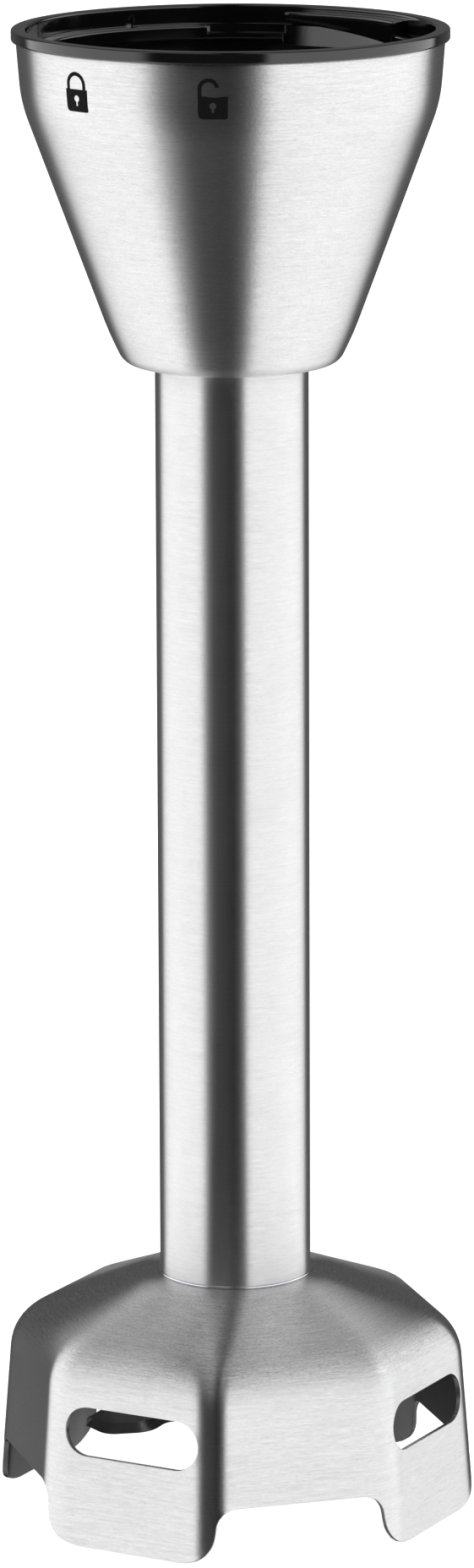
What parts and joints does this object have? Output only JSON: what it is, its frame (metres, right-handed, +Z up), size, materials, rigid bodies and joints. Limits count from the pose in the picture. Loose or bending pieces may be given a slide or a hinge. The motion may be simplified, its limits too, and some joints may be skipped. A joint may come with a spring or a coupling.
{
  "type": "hand blender blending shaft",
  "caption": "Detachable blending shaft: steel cup with bayonet collar, long steel tube, octagonal slotted blade guard and a blade on a bearing-mounted drive shaft.",
  "frame": {"origin": "on the plane of the guard's four feet, under the drive shaft's axis", "axes": "+Z up along the drive shaft towards the cup; the guard's four slotted legs face +X, +Y, -X and -Y"},
  "size_m": [0.0748, 0.0748, 0.2462],
  "materials": {
    "brushed_steel": "fine brushing round the axis",
    "plain_steel": "turned stainless steel",
    "ground_steel": "ground and polished",
    "blade_steel": "hardened, ground edge",
    "spring_steel": "phosphated spring steel",
    "plated_steel": "zinc plated",
    "sintered_bronze": "porous sintered bronze",
    "black_plastic": "semi-gloss moulded",
    "grey_plastic": "glass-filled moulding",
    "white_plastic": "natural acetal",
    "tan_plastic": "moulded cage",
    "black_rubber": "nitrile rubber"
  },
  "bodies": {
    "housing": {"cup_shell": "brushed_steel", "bayonet_collar": "black_plastic", "mounting_hub": "grey_plastic", "collar_screws": "plated_steel", "collar_o_ring": "black_rubber", "shaft_tube": "brushed_steel", "tube_flange": "plain_steel", "tube_o_ring": "black_rubber", "bearing_outer_race": "ground_steel", "bearing_shields": "plated_steel", "bearing_circlip": "spring_steel", "preload_spring": "spring_steel", "upper_seal": "black_rubber", "mid_guide": "white_plastic", "bell_guard": "brushed_steel", "lower_housing": "plain_steel", "housing_nut": "plated_steel", "lower_bush": "sintered_bronze", "shaft_seal": "black_rubber", "seal_cap": "plain_steel"},
    "rotor": {"bearing_inner_race": "ground_steel", "drive_shaft": "ground_steel", "drive_coupling": "white_plastic", "coupling_pin": "plated_steel", "shaft_circlips": "spring_steel", "slinger": "black_rubber", "blade_spacer": "plain_steel", "blade": "blade_steel", "blade_washer": "plain_steel", "blade_nut": "plain_steel"},
    "ball_cage": {"bearing_balls": "ground_steel", "bearing_cage": "tan_plastic"}
  },
  "joints": [
    {"name": "shaft_spin", "type": "hinge", "parent": "housing", "child": "rotor", "pos_m": [0, 0, 0.21], "axis": [0, 0, 1], "continuous": true},
    {"name": "cage_spin", "type": "hinge", "parent": "housing", "child": "ball_cage", "pos_m": [0, 0, 0.21], "axis": [0, 0, 1], "continuous": true}
  ],
  "couplings": [
    {"joint": "cage_spin", "follows": "shaft_spin", "ratio": 0.36}
  ]
}
